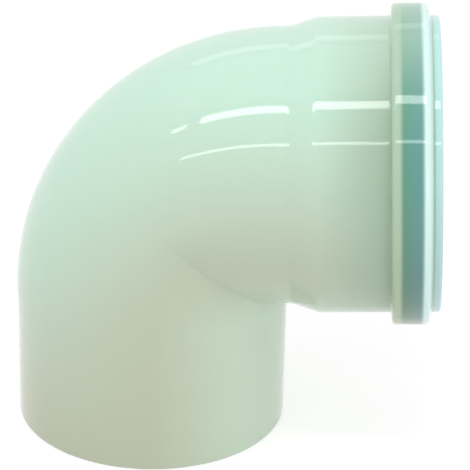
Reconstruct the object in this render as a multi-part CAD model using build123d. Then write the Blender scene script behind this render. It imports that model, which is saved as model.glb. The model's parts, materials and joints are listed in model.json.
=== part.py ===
from build123d import *
import os
from math import atan2, cos, hypot, radians, sin, tan

# Flue elbow of natural polypropylene: one hollow moulding with a plain spigot at one end and a socket
# at the other, and the rubber lip seal that sits in the groove of the socket's bead.
# Millimetres, +Z up. The origin is the centre of the spigot's end face, and the spigot's axis is +Z.
# The bend turns in the XZ plane, towards +X.

# ---- driving dimensions ----
bend_angle = 87.0  # turn between the two pipe axes, degrees
pipe_radius = 55.0  # outside of the line's pipes: of this elbow's duct, and of the pipe in its socket
duct_wall = 3.0  # wall of the leg, the bend and the neck

leg_length = 55.5  # spigot's end face to the start of the bend
spigot_length = 50.0  # the gauged stretch that goes into the next socket
spigot_relief = 0.25  # how much smaller in radius the gauged stretch is than the leg
spigot_edge = 1.0  # rounding of the end's outer edge
spigot_inner_edge = 0.6  # chamfer of the end's inner edge

neck_length = 3.0  # straight stretch between the bend and the flare
flare_length = 10.2  # cone from the neck up to the socket
flare_lag = 1.2  # how far the inner cone lies behind the outer one, which keeps its wall
flare_blend = 6.0  # rounding where the flare meets the neck and the socket
socket_clearance = 0.4  # radial play between the pipe and the bore
socket_wall = 3.1  # wall of the socket
socket_length = 28.4  # flare to bead
lip_length = 3.4  # bead to mouth
lip_edge = 1.1  # rounding of the mouth's outer edge
lead_in = 1.0  # chamfer of the mouth's inner edge

bead_width = 15.9  # width of the bead at its foot
bead_height = 4.9  # how far the bead stands off the socket's wall
bead_lean_back = 4.0  # lean of the bead's side towards the flare, degrees
bead_lean_front = 17.0  # lean of the bead's side towards the mouth, degrees
bead_edge = 1.9  # rounding of the bead's two outer edges
bead_wall = 3.0  # bead's wall over the groove
groove_wall = 3.9  # bead's wall at each side of the groove
bead_foot = 0.8  # rounding at the bead's foot on the flare's side

seal_seat = 0.1  # play between the seal and the groove, all round
seal_root = 1.9  # thickness of the seal's outer band
seal_heel = 3.0  # length of the solid heel on the mouth's side
seal_lip = 1.3  # thickness of the lip
seal_tip_gap = 0.2  # play between the pipe and the bent-back lip
seal_setback = 1.2  # how far the lip's tip stays inside the seal's inner end
seal_chamfer = 1.0  # entry chamfer on the heel

# ---- derived sizes and places ----
duct_radius = pipe_radius
throat = duct_radius * tan(radians(bend_angle / 2))  # from the crossing of the axes to each bend end
bore_radius = pipe_radius + socket_clearance
socket_radius = bore_radius + socket_wall
inner_radius = duct_radius - duct_wall
spigot_radius = duct_radius - spigot_relief
bead_radius = socket_radius + bead_height
groove_radius = bead_radius - bead_wall

tube_direction = Vector(sin(radians(bend_angle)), 0, cos(radians(bend_angle)))
axes_cross = Vector(0, 0, leg_length + throat)
bend_pivot = Vector(duct_radius, 0, leg_length)  # the throat's inside corner
tube_axis = Axis(axes_cross, tube_direction)
tube_plane = Plane(origin=axes_cross, x_dir=tube_direction, z_dir=(0, -1, 0))
leg_plane = Plane(origin=(0, 0, 0), x_dir=(0, 0, 1), z_dir=(0, 1, 0))
mitre_plane = Plane(
    origin=bend_pivot,
    z_dir=(sin(radians(bend_angle / 2)), 0, cos(radians(bend_angle / 2))),
)

# the flare's slope, and the roundest blend that its cone and the neck have room for
flare_slope = atan2(socket_radius - duct_radius, flare_length)
flare_run = hypot(socket_radius - duct_radius, flare_length)
blend_room = 0.9 * min(neck_length, flare_run / 2) / tan(flare_slope / 2)
flare_rounding = min(flare_blend, blend_room)

# stations along the tube, measured from the crossing of the two axes
neck_end = throat + neck_length
flare_end = neck_end + flare_length
bead_start = flare_end + socket_length
bead_end = bead_start + bead_width
mouth = bead_end + lip_length
bore_start = flare_end + flare_lag
groove_start = bead_start + groove_wall
groove_end = bead_end - groove_wall


def turned(plane, axis, points, radii):
    """A solid turned about the axis, from a closed outline of (station, radius) points and corner radii."""
    outline = plane * FilletPolyline(*points, radius=radii, close=True)
    return revolve(make_face(outline.edges()), axis=axis)


def leg_outside():
    """The straight leg as a full round bar, narrower by the relief along its gauged stretch."""
    points = [
        (0, 0),
        (0, spigot_radius),
        (spigot_length, spigot_radius),
        (leg_length, duct_radius),
        (leg_length, 0),
    ]
    return turned(leg_plane, Axis.Z, points, [0, spigot_edge, 0, 0, 0])


def leg_inside():
    """The space inside the leg, with the end's inner edge broken."""
    points = [
        (0, 0),
        (0, inner_radius + spigot_inner_edge),
        (spigot_inner_edge, inner_radius),
        (leg_length, inner_radius),
        (leg_length, 0),
    ]
    return turned(leg_plane, Axis.Z, points, 0)


def half_bend(radius):
    """The leg's half of the bend, up to the mitre.

    Its side towards the throat is the leg's own cylinder, and its back is a torus about the throat.
    """
    reach = 2 * duct_radius
    back = Plane(origin=bend_pivot, x_dir=(-1, 0, 0), z_dir=(0, 0, 1))
    centre = duct_radius
    wedge_face = Rectangle(centre, reach, align=(Align.MIN, Align.CENTER))
    wedge_face += Pos(centre, 0) * Circle(radius)
    pivot_axis = Axis(bend_pivot, (0, 1, 0))
    wedge = revolve(back * wedge_face, axis=pivot_axis, revolution_arc=bend_angle / 2)
    bar = Pos(0, 0, leg_length) * Cylinder(
        radius, 2 * reach, align=(Align.CENTER, Align.CENTER, Align.MIN)
    )
    return bar & wedge


def bend(radius):
    """Both halves of the bend, the second one mirrored across the mitre."""
    half = half_bend(radius)
    return half + mirror(half, about=mitre_plane)


def tube_outside():
    """Neck, flare, socket, bead and lip as a solid bar, without the bore."""
    lean_back = bead_height * tan(radians(bead_lean_back))
    lean_front = bead_height * tan(radians(bead_lean_front))
    points = [
        (throat, 0),
        (throat, duct_radius),
        (neck_end, duct_radius),
        (flare_end, socket_radius),
        (bead_start, socket_radius),
        (bead_start + lean_back, bead_radius),
        (bead_end - lean_front, bead_radius),
        (bead_end, socket_radius),
        (mouth, socket_radius),
        (mouth, 0),
    ]
    radii = [0, 0, flare_rounding, flare_rounding, bead_foot, bead_edge, bead_edge, 0, lip_edge, 0]
    return turned(tube_plane, tube_axis, points, radii)


def tube_inside():
    """The space inside the tube: duct, cone, bore, seal groove and lead-in."""
    points = [
        (throat, 0),
        (throat, inner_radius),
        (neck_end + flare_lag, inner_radius),
        (bore_start, bore_radius),
        (groove_start, bore_radius),
        (groove_start, groove_radius),
        (groove_end, groove_radius),
        (groove_end, bore_radius),
        (mouth - lead_in, bore_radius),
        (mouth, bore_radius + lead_in),
        (mouth, 0),
    ]
    return turned(tube_plane, tube_axis, points, 0)


def elbow_body():
    """The moulding: the outside of leg, bend and tube, less the same three in their inner sizes."""
    outside = leg_outside() + bend(duct_radius) + tube_outside()
    inside = leg_inside() + bend(inner_radius) + tube_inside()
    return outside - inside


def lip_seal_ring():
    """The seal: a band against the groove, a heel at the mouth's side and a lip bent back by the pipe."""
    outer = groove_radius - seal_seat
    inner_end = groove_start + seal_seat
    outer_end = groove_end - seal_seat
    tip = pipe_radius + seal_tip_gap
    points = [
        (inner_end, outer - seal_root),
        (inner_end, outer),
        (outer_end, outer),
        (outer_end, bore_radius + seal_chamfer),
        (outer_end - seal_chamfer, tip),
        (inner_end + seal_setback, tip),
        (inner_end + seal_setback, tip + seal_lip),
        (outer_end - seal_heel, outer - seal_root),
    ]
    return turned(tube_plane, tube_axis, points, 0)


parts = {"elbow_body": elbow_body(), "lip_seal_ring": lip_seal_ring()}
os.makedirs("parts", exist_ok=True)
for name, shape in parts.items():
    export_step(shape, f"parts/{name}.step")
    print(name, "volume", round(shape.volume), "centre", shape.center(CenterOf.MASS))
print("socket bore", bore_radius, "from", bore_start, "to", mouth, "along", tube_direction)
print("axes cross at", axes_cross, "mouth centre", axes_cross + tube_direction * mouth)
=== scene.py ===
# %% [markdown]
# # A flue elbow of natural polypropylene
#
# A flue elbow turns the exhaust pipe of a boiler through a corner. It is one hollow moulding of uncoloured
# polypropylene: milky, slightly see-through and glossy. Its plain end, the spigot, stands on the floor. Its
# other end is a socket, which takes the next pipe, and the raised bead near the socket's mouth has a groove
# inside for a rubber lip seal. Nothing on it moves.
#
# The lesson makes two pieces, the moulding and the seal, with one trick: draw a straight pipe's outline,
# then let a Geometry Nodes tree wrap it round the corner.

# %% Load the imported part
import json
import math

import bmesh
import bpy
from mathutils import Matrix, Vector


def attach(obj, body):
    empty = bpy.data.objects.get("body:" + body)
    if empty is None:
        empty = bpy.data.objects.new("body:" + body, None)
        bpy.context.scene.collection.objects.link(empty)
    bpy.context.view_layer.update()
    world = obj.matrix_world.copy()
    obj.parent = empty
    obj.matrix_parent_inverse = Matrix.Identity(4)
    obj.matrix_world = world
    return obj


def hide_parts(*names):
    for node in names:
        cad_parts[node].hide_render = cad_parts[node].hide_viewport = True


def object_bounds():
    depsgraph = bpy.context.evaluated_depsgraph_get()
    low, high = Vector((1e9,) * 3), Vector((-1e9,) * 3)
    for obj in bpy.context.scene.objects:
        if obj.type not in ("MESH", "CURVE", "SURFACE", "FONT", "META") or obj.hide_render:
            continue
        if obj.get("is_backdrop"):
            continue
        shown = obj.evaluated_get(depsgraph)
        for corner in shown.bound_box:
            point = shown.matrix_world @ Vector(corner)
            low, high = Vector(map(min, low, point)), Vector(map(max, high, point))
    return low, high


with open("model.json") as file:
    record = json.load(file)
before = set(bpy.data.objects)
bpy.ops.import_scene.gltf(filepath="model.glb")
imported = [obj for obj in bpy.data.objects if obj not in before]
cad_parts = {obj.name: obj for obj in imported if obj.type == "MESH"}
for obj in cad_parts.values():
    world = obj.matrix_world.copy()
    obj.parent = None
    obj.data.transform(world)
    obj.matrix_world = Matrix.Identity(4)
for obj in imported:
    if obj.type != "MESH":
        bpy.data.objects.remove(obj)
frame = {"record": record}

cad_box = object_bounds()
print("CAD box, m:", [tuple(round(c, 4) for c in corner) for corner in cad_box])

# %% [markdown]
# ## Sizes
#
# The part's record already says where its two ends are: the spigot is a pin and the socket is a bore, each
# with a place, an axis and a radius. The turn of the elbow, the place where the two pipe axes cross and the
# length of the straight leg all follow from them, so nothing here can drift away from the solids. Only the
# small steps of the outline, which no mount states, are written out. Blender works in metres, so sizes on
# the drawing are multiplied by `MM`.

# %% Sizes from the mounts and the box
MM = 0.001
mounts = {mount["name"]: mount for mount in frame["record"]["mounts"]}
mouth_centre = Vector(mounts["socket"]["pos_m"])
tube_direction = Vector(mounts["socket"]["axis"]).normalized()
spigot_radius = mounts["spigot"]["dims"]["r_mm"] * MM
bore_radius = mounts["socket"]["dims"]["r_mm"] * MM
bead_radius = cad_box[1].y
duct_radius = 55.0 * MM

bend_angle = math.acos(tube_direction.z)
axes_cross = Vector((0, 0, mouth_centre.z - mouth_centre.x * tube_direction.z / tube_direction.x))
mouth_station = (mouth_centre - axes_cross).length
throat = duct_radius * math.tan(bend_angle / 2)
leg_length = axes_cross.z - throat
print(f"turn {math.degrees(bend_angle):.1f} degrees, leg {leg_length / MM:.1f} mm")
print(f"axes cross at {axes_cross.z / MM:.1f} mm, mouth {mouth_station / MM:.1f} mm from there")

# %% Sizes of the outline's steps
wall = 3.0 * MM
neck_length = 3.0 * MM
flare_length = 10.2 * MM
flare_lag = 1.2 * MM
socket_wall = 3.1 * MM
bead_width = 15.9 * MM
bead_wall = 3.0 * MM
groove_wall = 3.9 * MM
lip_length = 3.4 * MM
gauged_length = 50.0 * MM

inner_radius = duct_radius - wall
socket_radius = bore_radius + socket_wall
groove_radius = bead_radius - bead_wall
bead_end = mouth_station - lip_length
bead_start = bead_end - bead_width
groove_start = bead_start + groove_wall
groove_end = bead_end - groove_wall
neck_end = throat + neck_length
flare_end = neck_end + flare_length
print(f"bead from {bead_start / MM:.1f} to {bead_end / MM:.1f} mm, radius {bead_radius / MM:.1f} mm")

# %% [markdown]
# ## An outline for a straight pipe
#
# Think of the elbow as a pipe that hasn't been bent yet. Its wall is then a closed outline in two numbers:
# how far along the pipe a point lies, and how far from the pipe's middle. Walking along the outside, round
# the mouth and back along the inside draws the whole moulding, groove and all.
#
# Moulded plastic has no knife edges, so each corner has a rounding radius. The helper replaces a corner by a
# short arc, and a corner of radius 0 stays sharp.

# %% Round the corners of an outline


def rounded(corners, closed=True):
    """The points of an outline of (along, out, radius) corners, each corner turned into an arc."""
    points = []
    count = len(corners)
    for i, (along, out, radius) in enumerate(corners):
        here = Vector((along, out))
        if radius == 0:
            points.append(here)
            continue
        before = Vector(corners[i - 1][:2]) - here
        after = Vector(corners[(i + 1) % count][:2]) - here
        half = before.angle(after) / 2
        tangent = radius / math.tan(half)
        start = here + before.normalized() * tangent
        end = here + after.normalized() * tangent
        middle = here + (before.normalized() + after.normalized()).normalized() * radius / math.sin(half)
        turn = math.pi - 2 * half
        steps = max(2, math.ceil(math.degrees(turn) / ARC_STEP))
        for k in range(steps + 1):
            share = k / steps
            across = math.sin(turn)
            from_start = (start - middle) * math.sin((1 - share) * turn)
            to_end = (end - middle) * math.sin(share * turn)
            points.append(middle + (from_start + to_end) / across)
    return points


ARC_STEP = 10.0  # degrees of turn between two points of an arc

# %% [markdown]
# The bend is a stretch of the outline too. Along it, distance is measured on the pipe's centreline, whose
# radius is the duct's own radius: the throat of this elbow is a sharp inside corner, and the bend swings
# about that corner. The stretch needs many points, and a few more close to the mitre, where the two halves
# of the throat meet in a crease.

# %% Stations along the bend
BEND_STEPS = 58
MITRE_STEPS = (-0.7, -0.35, 0.35, 0.7)  # degrees either side of the mitre

bend_length = duct_radius * bend_angle
turns = [bend_angle * k / BEND_STEPS for k in range(BEND_STEPS + 1)]
turns += [bend_angle / 2 + math.radians(step) for step in MITRE_STEPS]
bend_stations = [leg_length + duct_radius * turn for turn in sorted(turns)]
print(len(bend_stations), "stations round the bend")


def unrolled(station):
    """Distance along the unbent pipe, for a station measured from the crossing of the two axes."""
    return leg_length + bend_length + station - throat


# %% The moulding's outline
lean_back = math.tan(math.radians(4)) * (bead_radius - socket_radius)
lean_front = math.tan(math.radians(17)) * (bead_radius - socket_radius)
outside = [
    (0, spigot_radius, 1.0 * MM),
    (gauged_length, spigot_radius, 0),
    *[(station, duct_radius, 0) for station in bend_stations],
    (unrolled(neck_end), duct_radius, 6 * MM),
    (unrolled(flare_end), socket_radius, 6 * MM),
    (unrolled(bead_start), socket_radius, 0.8 * MM),
    (unrolled(bead_start) + lean_back, bead_radius, 1.9 * MM),
    (unrolled(bead_end) - lean_front, bead_radius, 1.9 * MM),
    (unrolled(bead_end), socket_radius, 0.5 * MM),
    (unrolled(mouth_station), socket_radius, 1.1 * MM),
]
inside = [
    (unrolled(mouth_station), bore_radius + 1.0 * MM, 0.2 * MM),
    (unrolled(mouth_station) - 1.0 * MM, bore_radius, 0.3 * MM),
    (unrolled(groove_end), bore_radius, 0.3 * MM),
    (unrolled(groove_end), groove_radius, 0.3 * MM),
    (unrolled(groove_start), groove_radius, 0.3 * MM),
    (unrolled(groove_start), bore_radius, 0.3 * MM),
    (unrolled(flare_end) + flare_lag, bore_radius, 0.5 * MM),
    (unrolled(neck_end) + flare_lag, inner_radius, 2 * MM),
    *[(station, inner_radius, 0) for station in reversed(bend_stations)],
    (0.6 * MM, inner_radius, 0),
    (0, inner_radius + 0.6 * MM, 0),
]
moulding_outline = rounded(outside + inside)
print(len(moulding_outline), "points round the moulding's wall")

# %% [markdown]
# ## The seal's outline
#
# The seal is a ring of soft black rubber with a band that fills the groove, a solid heel towards the mouth
# and a thin lip that slants inwards. A pipe that is pushed in bends the lip back against the band, and it is
# drawn in that state. The same wrapping tree will turn this outline into the ring, at its place in the bead.

# %% Draw the seal's outline
seat = 0.1 * MM
band = 1.9 * MM
heel = 3.0 * MM
lip = 1.3 * MM
setback = 1.2 * MM
tip_radius = duct_radius + 0.2 * MM
seal_outer = groove_radius - seat
seal_front = unrolled(groove_end) - seat
seal_back = unrolled(groove_start) + seat
seal_corners = [
    (seal_back, seal_outer - band, 0.3 * MM),
    (seal_back, seal_outer, 0.3 * MM),
    (seal_front, seal_outer, 0.3 * MM),
    (seal_front, bore_radius + 1.0 * MM, 0.3 * MM),
    (seal_front - 1.0 * MM, tip_radius, 0.5 * MM),
    (seal_back + setback, tip_radius, 0.5 * MM),
    (seal_back + setback, tip_radius + lip, 0.4 * MM),
    (seal_front - heel, seal_outer - band, 0.4 * MM),
]
seal_outline = rounded(seal_corners)
print(len(seal_outline), "points round the seal")

# %% [markdown]
# ## Writing nodes as sums
#
# The bend's shape and the plastic's colour are both formulas. Wiring a formula by hand is slow to do and
# hard to read, so a small class wraps an output socket and lets Python's own signs add the Math nodes:
# `1 - a * b` makes two of them. Every other node comes from one method, which takes the node's type, its
# settings and what goes into its sockets. The same two classes serve Geometry Nodes and shaders.

# %% Sockets that can be added and multiplied


class Wire:
    """An output socket that can stand in a sum."""

    def __init__(self, board, socket):
        self.board = board
        self.socket = socket

    def maths(self, operation, *values, clamp=False):
        settings = {"operation": operation, "use_clamp": clamp}
        return self.board.add("ShaderNodeMath", settings, dict(enumerate(values)))

    def __add__(self, other):
        return self.maths("ADD", self, other)

    def __sub__(self, other):
        return self.maths("SUBTRACT", self, other)

    def __mul__(self, other):
        return self.maths("MULTIPLY", self, other)

    def __truediv__(self, other):
        return self.maths("DIVIDE", self, other)

    def __rsub__(self, other):
        return self.maths("SUBTRACT", other, self)

    def __rtruediv__(self, other):
        return self.maths("DIVIDE", other, self)

    __radd__ = __add__
    __rmul__ = __mul__

    def call(self, operation, *others):
        """This value put through another of the Math node's operations, such as SINE or MINIMUM."""
        return self.maths(operation, self, *others)


class Board:
    """A node tree that nodes are added to."""

    def __init__(self, tree):
        self.tree = tree

    def add(self, kind, settings=None, inputs=None, output=0):
        """A node of that type. Its settings are set first, then its sockets are filled or linked."""
        node = self.tree.nodes.new(kind)
        for name, value in (settings or {}).items():
            setattr(node, name, value)
        for key, value in (inputs or {}).items():
            if isinstance(value, Wire):
                self.tree.links.new(value.socket, node.inputs[key])
            else:
                node.inputs[key].default_value = value
        if isinstance(output, tuple):
            return [Wire(self, node.outputs[name]) for name in output]
        return Wire(self, node.outputs[output]) if node.outputs else node


# %% [markdown]
# ## The wrapping tree
#
# The tree first makes a grid with one row for each point of the outline and one column for each step round
# the pipe, and reads off each row's distance and radius. Then one Set Position node moves every point:
#
# - on the leg, a point stands straight up from the spigot,
# - round the bend, it swings about the throat's inside corner,
# - on the tube, it carries on straight in the tube's direction.
#
# A bend swept with a plain circle would be pinched at the throat. The real one is moulded on two straight
# cores, so the throat's side of it is the two pipes themselves, meeting in a mitre, and only its back is
# round. `pipe_reach` is how far a pipe's own wall lies from the bend's centreline, in a slice taken through
# the throat, and each point takes the nearer of pipe and circle. Both joins are eased by a small rounding.

# %% Inputs of the tree
wrap = bpy.data.node_groups.new("wrap_round_the_corner", "GeometryNodeTree")
wrap.interface.new_socket("Outline", in_out="INPUT", socket_type="NodeSocketGeometry")
wrap_sizes = {
    "Points": "NodeSocketInt",
    "Rounds": "NodeSocketInt",
    "Duct radius": "NodeSocketFloat",
    "Leg length": "NodeSocketFloat",
    "Bend angle": "NodeSocketFloat",
    "Mitre rounding": "NodeSocketFloat",
    "Back rounding": "NodeSocketFloat",
    "Finish": "NodeSocketMaterial",
}
for name, kind in wrap_sizes.items():
    wrap.interface.new_socket(name, in_out="INPUT", socket_type=kind)
wrap.interface.new_socket("Shell", in_out="OUTPUT", socket_type="NodeSocketGeometry")
board = Board(wrap)
given_names = ("Outline", *wrap_sizes)
given = dict(zip(given_names, board.add("NodeGroupInput", output=given_names)))
print("tree inputs:", ", ".join(given_names))

# %% Read each row's distance and radius
rows = given["Points"]
columns = given["Rounds"] + 1
grid = board.add(
    "GeometryNodeMeshGrid",
    inputs={"Size X": 1.0, "Size Y": 1.0, "Vertices X": rows + 1, "Vertices Y": columns},
    output="Mesh",
)
index = board.add("GeometryNodeInputIndex")
row = (index / columns).call("FLOOR")
column = index - row * columns
wrapped_row = row.call("MODULO", rows)
drawn_at = board.add("GeometryNodeInputPosition")
drawn = board.add(
    "GeometryNodeSampleIndex",
    {"data_type": "FLOAT_VECTOR"},
    {"Geometry": given["Outline"], "Value": drawn_at, "Index": wrapped_row},
)
along, out, _ = board.add("ShaderNodeSeparateXYZ", inputs={0: drawn}, output=("X", "Y", "Z"))
round_angle = column * (2 * math.pi) / given["Rounds"]
cos_round = round_angle.call("COSINE")
sin_round = round_angle.call("SINE")

# %% Where a row lies: on the leg, round the bend or on the tube
radius = given["Duct radius"]
turn = given["Bend angle"]
past_leg = along - given["Leg length"]
swing = (past_leg / radius).call("MAXIMUM", 0.0).call("MINIMUM", turn)
below_bend = past_leg.call("MINIMUM", 0.0)
past_bend = (past_leg - radius * turn).call("MAXIMUM", 0.0)

# %% How far a slice of the bend reaches
to_mitre = swing.call("SMOOTH_MIN", turn - swing, given["Mitre rounding"])
slant = to_mitre.call("COSINE")
offset = radius * (slant - 1)
spread = slant * slant * cos_round * cos_round + sin_round * sin_round
lean = slant * cos_round * offset
pipe_reach = ((lean * lean + spread * (out * out - offset * offset)).call("SQRT") - lean) / spread
easing = given["Back rounding"] * (1 - slant)
reach = out.call("SMOOTH_MIN", pipe_reach, easing)

# %% Move every point to its place
from_throat = radius + reach * cos_round
cos_swing = swing.call("COSINE")
sin_swing = swing.call("SINE")
x = radius - from_throat * cos_swing + past_bend * turn.call("SINE")
y = reach * sin_round
z = given["Leg length"] + from_throat * sin_swing + below_bend + past_bend * turn.call("COSINE")
place = board.add("ShaderNodeCombineXYZ", inputs={"X": x, "Y": y, "Z": z})
bent = board.add("GeometryNodeSetPosition", inputs={"Geometry": grid, "Position": place})

# %% [markdown]
# The grid's first and last rows and columns now lie on each other, and at the throat's inside corner a whole
# stretch of rows meets in one point. Merging by distance closes the shell. Edges where the wall turns sharply
# are kept crisp and everything else is smooth. The tree ends by making its result real and giving it the
# finish, because an exported model keeps neither instances nor live nodes.

# %% Close, shade and finish the shell
CRISP = math.radians(35)
MERGE = 0.004 * MM
closed = board.add("GeometryNodeMergeByDistance", inputs={"Geometry": bent, "Distance": MERGE})
edge_angle = board.add("GeometryNodeInputMeshEdgeAngle", output="Unsigned Angle")
smooth = board.add(
    "GeometryNodeSetShadeSmooth", {"domain": "FACE"}, {"Geometry": closed, "Shade Smooth": True}
)
is_crisp = edge_angle.call("GREATER_THAN", CRISP)
shaded = board.add(
    "GeometryNodeSetShadeSmooth",
    {"domain": "EDGE"},
    {"Geometry": smooth, "Selection": is_crisp, "Shade Smooth": False},
)
real = board.add("GeometryNodeRealizeInstances", inputs={"Geometry": shaded})
finished = board.add("GeometryNodeSetMaterial", inputs={"Geometry": real, "Material": given["Finish"]})
board.add("NodeGroupOutput", inputs={"Shell": finished})
print(len(wrap.nodes), "nodes in the wrapping tree")

# %% [markdown]
# ## From outline to plain mesh
#
# An outline goes in as loose points. The modifier's inputs are set by each socket's identifier before the
# object is first evaluated, and the evaluated result is copied into a plain mesh. The helper then turns all
# faces outwards and reports what it made: a closed shell has two faces at every edge, and its volume should
# match the solid's.

# %% A helper that wraps an outline
ROUNDS = 224


def wrapped(name, outline, finish):
    """A plain mesh object: the outline turned about the pipe's middle and wrapped round the corner."""
    drawing = bpy.data.meshes.new(name + "_outline")
    drawing.from_pydata([(point.x, point.y, 0) for point in outline], [], [])
    carrier = bpy.data.objects.new(name + "_carrier", drawing)
    bpy.context.scene.collection.objects.link(carrier)
    modifier = carrier.modifiers.new("wrap", "NODES")
    modifier.node_group = wrap
    values = {
        "Points": len(outline),
        "Rounds": ROUNDS,
        "Duct radius": duct_radius,
        "Leg length": leg_length,
        "Bend angle": bend_angle,
        "Mitre rounding": 0.02,
        "Back rounding": 6.0 * MM,
        "Finish": finish,
    }
    for item in wrap.interface.items_tree:
        if item.name in values:
            modifier[item.identifier] = values[item.name]
    ready = carrier.evaluated_get(bpy.context.evaluated_depsgraph_get())
    mesh = bpy.data.meshes.new_from_object(ready)
    bpy.data.objects.remove(carrier)
    shell = bmesh.new()
    shell.from_mesh(mesh)
    if shell.calc_volume(signed=True) < 0:
        bmesh.ops.reverse_faces(shell, faces=shell.faces)
    open_edges = sum(1 for edge in shell.edges if len(edge.link_faces) != 2)
    volume = shell.calc_volume(signed=True) / MM**3 / 1000
    shell.to_mesh(mesh)
    shell.free()
    piece = bpy.data.objects.new(name, mesh)
    bpy.context.scene.collection.objects.link(piece)
    print(f"{name}: {len(mesh.polygons)} faces, {open_edges} open edges, {volume:.1f} cm3")
    return piece


# %% [markdown]
# ## Colours
#
# Colours are written as they look on a screen, from 0 to 255, and turned into the linear values that the
# renderer works with.

# %% A helper for colours


def screen(red, green, blue):
    """A screen colour as linear RGBA."""
    linear = []
    for value in (red, green, blue):
        share = value / 255
        linear.append(share / 12.92 if share <= 0.04045 else ((share + 0.055) / 1.055) ** 2.4)
    return (*linear, 1.0)


def new_material(name):
    """An empty material and its board."""
    material = bpy.data.materials.new(name)
    material.use_nodes = True
    material.node_tree.nodes.clear()
    return material, Board(material.node_tree)


def mixed(board, share, first, second):
    """Two colours mixed: the first where share is 0, the second where it is 1."""
    settings = {"data_type": "RGBA", "blend_type": "MIX"}
    return board.add("ShaderNodeMix", settings, {0: share, 6: first, 7: second}, output=2)


def ramped(board, value, low, high, start=0.0, end=1.0):
    """A value eased from start to end as it goes from low to high, and held beyond."""
    settings = {"interpolation_type": "SMOOTHSTEP", "clamp": True}
    inputs = {"Value": value, "From Min": low, "From Max": high, "To Min": start, "To Max": end}
    return board.add("ShaderNodeMapRange", settings, inputs)


def noise(board, place, scale, detail):
    """A smooth random value about 0.5, the same at the same place in every render."""
    inputs = {"Vector": place, "Scale": scale, "Detail": detail}
    return board.add("ShaderNodeTexNoise", {"noise_dimensions": "3D"}, inputs, output=0)


# %% [markdown]
# ## Natural polypropylene
#
# Uncoloured polypropylene is a cloudy plastic. Light goes into it, scatters and comes out a few millimetres
# away, which subsurface scattering gives. Its own tint is a pale mint. Painted light and shade lie over it:
# it is painted greyer towards the foot and the throat and lighter towards the top and the back of the bend,
# the leg's side below the socket is painted lighter, the socket's sides are painted darker, and the bead's
# stripes, its lip and the band are painted lighter towards the top. What makes the socket recognisable is
# the seal: behind 3 mm of cloudy wall the black rubber shows as a soft-edged blue-green band round the bead,
# painted fainter on the bead's top and bottom. The seal is a separate piece inside a closed wall, where no
# light path would find it reliably, so the band is given to the plastic by its place along the tube.

# %% Where a point lies along the tube
plastic, board = new_material("natural_polypropylene")
place = board.add("ShaderNodeTexCoord", output="Object")
from_cross = board.add("ShaderNodeVectorMath", {"operation": "SUBTRACT"}, {0: place, 1: axes_cross})
station = board.add(
    "ShaderNodeVectorMath", {"operation": "DOT_PRODUCT"}, {0: from_cross, 1: tube_direction}, output="Value"
)
distance = board.add("ShaderNodeVectorMath", {"operation": "LENGTH"}, {0: from_cross}, output="Value")
off_axis = (distance * distance - station * station).call("SQRT")
ahead, across, up = board.add("ShaderNodeSeparateXYZ", inputs={0: place}, output=("X", "Y", "Z"))
on_tube = ramped(board, off_axis, bead_radius + 4 * MM, bead_radius + 1 * MM)

# %% The seal showing through the bead
SOFT = 1.0 * MM


def between(start, end):
    """1 from one station of the tube to the other, with soft ends, and 0 elsewhere."""
    enters = ramped(board, station, start - SOFT, start + SOFT)
    leaves = ramped(board, station, end - SOFT, end + SOFT)
    return enters * (1 - leaves)


on_bead = ramped(board, off_axis, socket_radius - 0.5 * MM, socket_radius + 1.5 * MM)
# Painted shade: 0.45 on the socket's top and bottom, 1 on its sides. It darkens the socket's sides and keeps
# the band fainter on top and bottom.
painted_shade_to_side = ramped(board, across.call("ABSOLUTE"), 0.2 * bead_radius, 0.97 * bead_radius, 0.45, 1.0)
seal_shows = between(groove_start, groove_end) * on_bead * painted_shade_to_side
through_seal = ramped(board, station, groove_start, groove_end)
print(f"band from {groove_start / MM:.1f} to {groove_end / MM:.1f} mm along the tube")

# %% The plastic's tint, with painted light and shade
cloud = board.add(
    "ShaderNodeTexNoise",
    {"noise_dimensions": "3D"},
    {"Vector": place, "Scale": 9.0, "Detail": 2.0, "Roughness": 0.4},
    output=0,
)
# Painted light and shade: the body is painted lighter towards the top and the back of the bend and greyer
# towards the foot and the throat. The cloud noise is the plastic's own uneven tone.
height = ramped(board, up, 0.0, cad_box[1].z)
from_pivot_x = ahead - duct_radius
from_pivot_z = up - leg_length
from_pivot = (from_pivot_x * from_pivot_x + from_pivot_z * from_pivot_z).call("SQRT")
painted_light_to_back = ramped(board, from_pivot, 45 * MM, 110 * MM) * ramped(board, up, -10 * MM, 80 * MM)
cloud_and_painted_light = board.add("ShaderNodeClamp", inputs={"Value": 0.6 * height + 0.6 * painted_light_to_back + 0.4 * cloud - 0.3})
# Painted light: the leg's side below the socket is painted lighter.
painted_light_on_leg_side = ramped(board, ahead, 0, 45 * MM) * ramped(board, up, 85 * MM, 55 * MM)
painted_foot_shade = mixed(board, painted_light_on_leg_side, screen(197, 204, 181), screen(210, 228, 207))
plain = mixed(board, cloud_and_painted_light, painted_foot_shade, screen(204, 235, 217))
# Painted shade: the socket's sides are painted darker from the flare to the bead.
painted_socket_shade = ramped(board, station, flare_end - 4 * MM, bead_start) * on_tube * painted_shade_to_side
shaded = mixed(board, painted_socket_shade, plain, screen(172, 195, 172))
# The bead's back stripe and the lip get other tints, each painted lighter towards the top.
back_tint_painted_top_light = mixed(board, height, screen(184, 194, 160), screen(180, 208, 184))
back_side = mixed(board, between(bead_start, groove_start) * on_bead, shaded, back_tint_painted_top_light)
front_side = mixed(board, between(groove_end, bead_end) * on_bead, back_side, screen(222, 255, 247))
lip_tint_painted_top_light = mixed(board, height, screen(190, 210, 218), screen(194, 234, 230))
tint = mixed(board, ramped(board, station, bead_end, bead_end + SOFT), front_side, lip_tint_painted_top_light)
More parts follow.
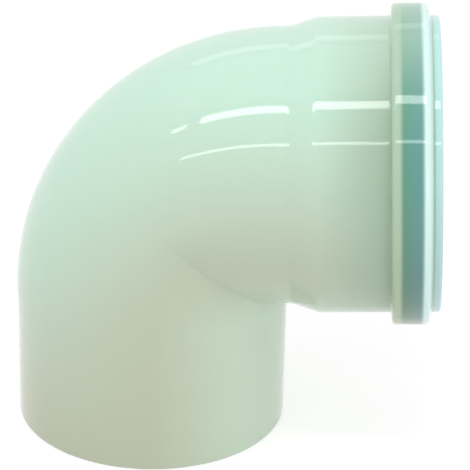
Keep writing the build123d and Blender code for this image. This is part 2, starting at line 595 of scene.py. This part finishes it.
# The band's colours are painted lighter towards the top.
green_band_painted_top_light = mixed(board, height, screen(112, 128, 108), screen(98, 166, 142))
blue_band_painted_top_light = mixed(board, height, screen(116, 134, 138), screen(102, 166, 164))
band_tint = mixed(board, through_seal, green_band_painted_top_light, blue_band_painted_top_light)
colour = mixed(board, seal_shows, tint, band_tint)

# %% Gloss, and the slight waviness of a moulded wall
haze = noise(board, place, 60.0, 3.0)
gloss = 0.02 + haze * 0.05
waves = noise(board, place, 22.0, 1.0)
grain = noise(board, place, 900.0, 2.0)
relief = waves + grain * 0.02
skin = board.add("ShaderNodeBump", inputs={"Strength": 0.3, "Distance": 0.25 * MM, "Height": relief})

surface = board.add(
    "ShaderNodeBsdfPrincipled",
    inputs={
        "Base Color": colour,
        "Roughness": gloss,
        "Normal": skin,
        "IOR": 1.49,
        "Subsurface Weight": 0.5,
        "Subsurface Radius": (1.0, 1.1, 1.0),
        "Subsurface Scale": 2.5 * MM,
    },
)
board.add("ShaderNodeOutputMaterial", inputs={"Surface": surface})

# %% [markdown]
# ## Seal rubber
#
# The seal is black rubber, matt with a slight sheen from the assembly grease, and fine moulding grain.

# %% Make the seal's rubber
rubber, board = new_material("seal_rubber")
place = board.add("ShaderNodeTexCoord", output="Object")
grease = noise(board, place, 45.0, 3.0)
grain = noise(board, place, 1500.0, 2.0)
black = mixed(board, grease, screen(38, 42, 43), screen(52, 57, 58))
dull = 0.42 + grease * 0.25
skin = board.add("ShaderNodeBump", inputs={"Strength": 0.4, "Distance": 0.05 * MM, "Height": grain})
rubber_inputs = {"Base Color": black, "Roughness": dull, "Normal": skin}
surface = board.add("ShaderNodeBsdfPrincipled", inputs=rubber_inputs)
board.add("ShaderNodeOutputMaterial", inputs={"Surface": surface})

# %% [markdown]
# ## The two pieces
#
# Both outlines go through the same tree, which gives each piece its finish. Each piece rides on the part's
# only body and takes the place of its solid, whose CAD node is hidden.

# %% Wrap the moulding and the seal
moulding = wrapped("elbow_moulding", moulding_outline, plastic)
seal = wrapped("lip_seal", seal_outline, rubber)
for piece, node, finish in (
    (moulding, "elbow_body", "natural_polypropylene"),
    (seal, "lip_seal_ring", "seal_rubber"),
):
    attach(piece, "root")
    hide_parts(node)

# %% [markdown]
# ## Floor
#
# The floor is white paper. What the camera sees of it is mostly its own light, so that it reads as plain
# white, but it still takes a soft shadow. To the light that falls on the elbow from below it is ordinary
# paper.

# %% Lay the floor
FLOOR_SIZE = 8.0
floor_mesh = bpy.data.meshes.new("floor")
half = FLOOR_SIZE / 2
floor_corners = [(-half, -half, 0), (half, -half, 0), (half, half, 0), (-half, half, 0)]
floor_mesh.from_pydata(floor_corners, [], [(0, 1, 2, 3)])
floor = bpy.data.objects.new("floor", floor_mesh)
bpy.context.scene.collection.objects.link(floor)
floor.location.z = -0.1 * MM
floor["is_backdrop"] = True

paper, board = new_material("floor_paper")
ray_kinds = ("Is Camera Ray", "Is Glossy Ray", "Is Transmission Ray")
camera_ray, glossy_ray, through_ray = board.add("ShaderNodeLightPath", output=ray_kinds)
seen = (camera_ray + glossy_ray + through_ray).call("MINIMUM", 1.0)
white = mixed(board, seen, (0.8, 0.8, 0.8, 1.0), (0.35, 0.35, 0.35, 1.0))
matt = board.add("ShaderNodeBsdfDiffuse", inputs={"Color": white})
glow = board.add("ShaderNodeEmission", inputs={"Color": (1, 1, 1, 1), "Strength": seen * 0.74})
surface = board.add("ShaderNodeAddShader", inputs={0: matt, 1: glow})
board.add("ShaderNodeOutputMaterial", inputs={"Surface": surface})
floor_mesh.materials.append(paper)

# %% [markdown]
# ## Light
#
# A pale world lights the elbow evenly from all round, and the camera sees it as white. Two long strip lamps
# run parallel to the tube, and their reflections are the bright lines along the socket and round the bend.
# A lamp's place is given by its direction in the plane across the tube: its height above the horizon as the
# elbow sees it, how wide it looks from there, and how far it reaches to the left and right.

# %% Light the world
world = bpy.data.worlds.new("studio")
bpy.context.scene.world = world
world.use_nodes = True
world.node_tree.nodes.clear()
board = Board(world.node_tree)
camera_ray, glossy_ray, through_ray = board.add("ShaderNodeLightPath", output=ray_kinds)
seen = (camera_ray + glossy_ray + through_ray).call("MINIMUM", 1.0)
WORLD_LEVEL = 0.73
level = WORLD_LEVEL + seen * (1 - WORLD_LEVEL)
sky = board.add("ShaderNodeBackground", inputs={"Color": (1, 1, 1, 1), "Strength": level})
board.add("ShaderNodeOutputWorld", inputs={"Surface": sky})

# %% A helper for turning lamps and the camera


def turned_to(axes):
    """The rotation whose own X, Y and Z axes are these three."""
    return Matrix(axes).transposed().to_quaternion()


# %% A helper for strip lamps
LAMP_DISTANCE = 1.6
LIT = Vector((0.045, -0.04, 0.15))  # the upper front of the bend and the socket


def strip_lamp(name, height, wide, left, right, radiance, colour=(1.0, 1.0, 1.0)):
    """A long lamp parallel to the tube. Angles are in degrees as seen from the elbow, reaches in metres."""
    angle = math.radians(height)
    towards = Vector((0, -math.cos(angle), math.sin(angle)))
    lamp = bpy.data.lights.new(name, "AREA")
    lamp.shape = "RECTANGLE"
    lamp.size = right - left
    lamp.size_y = LAMP_DISTANCE * math.radians(wide)
    lamp.energy = radiance * math.pi * lamp.size * lamp.size_y
    lamp.color = colour
    holder = bpy.data.objects.new(name, lamp)
    bpy.context.scene.collection.objects.link(holder)
    holder.location = LIT + towards * LAMP_DISTANCE + Vector(((left + right) / 2, 0, 0))
    side = Vector((1, 0, 0))
    holder.rotation_mode = "QUATERNION"
    holder.rotation_quaternion = turned_to([side, towards.cross(side), towards])
    holder.visible_camera = False
    print(f"{name}: {lamp.size:.2f} by {lamp.size_y:.2f} m, {lamp.energy:.1f} W")
    return holder


# %% Place the lamps
strip_lamp("broad_strip", 69.2, 6.4, -1.0, 0.30, 7.5)
strip_lamp("broad_strip_end", 68.0, 4.0, -1.45, -1.20, 6.0)
strip_lamp("narrow_strip", 38.7, 2.2, -1.15, 0.30, 6.0)
strip_lamp("back_strip", 138.0, 7.0, -0.8, 0.5, 0.9)
strip_lamp("overhead", 105.0, 50.0, -1.4, 0.4, 0.25)
strip_lamp("low_fill", 2.0, 30.0, 0.9, 2.4, 2.4)

# %% [markdown]
# ## Camera
#
# The camera stands well back with a long lens, a little above the elbow and almost square to the plane of
# the bend, so the leg's end shows as a shallow curve and the socket's mouth as a narrow ellipse.

# %% Place the camera
CAMERA_AZIMUTH = math.radians(2.504)
CAMERA_ELEVATION = math.radians(25.532)
CAMERA_ROLL = math.radians(1.413)
CAMERA_DISTANCE = 0.93424
CAMERA_TARGET = Vector((0.03295, 0.0, 0.0786))

back = Vector((
    math.sin(CAMERA_AZIMUTH) * math.cos(CAMERA_ELEVATION),
    -math.cos(CAMERA_AZIMUTH) * math.cos(CAMERA_ELEVATION),
    math.sin(CAMERA_ELEVATION),
))
level = Vector((math.cos(CAMERA_AZIMUTH), math.sin(CAMERA_AZIMUTH), 0))
upright = back.cross(level)
right = level * math.cos(CAMERA_ROLL) + upright * math.sin(CAMERA_ROLL)
camera = bpy.data.objects.new("camera", bpy.data.cameras.new("camera"))
bpy.context.scene.collection.objects.link(camera)
camera.data.lens = 177.97
camera.data.sensor_width = 36.0
camera.location = CAMERA_TARGET + back * CAMERA_DISTANCE
camera.rotation_mode = "QUATERNION"
camera.rotation_quaternion = turned_to([right, back.cross(right), back])
bpy.context.scene.camera = camera
bpy.context.scene.view_settings.view_transform = "Standard"

# %% Print the two boxes
visual_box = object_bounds()
for name, corners in (("CAD", cad_box), ("visual", visual_box)):
    print(name, "box, mm:", [tuple(round(c / MM, 2) for c in corner) for corner in corners])
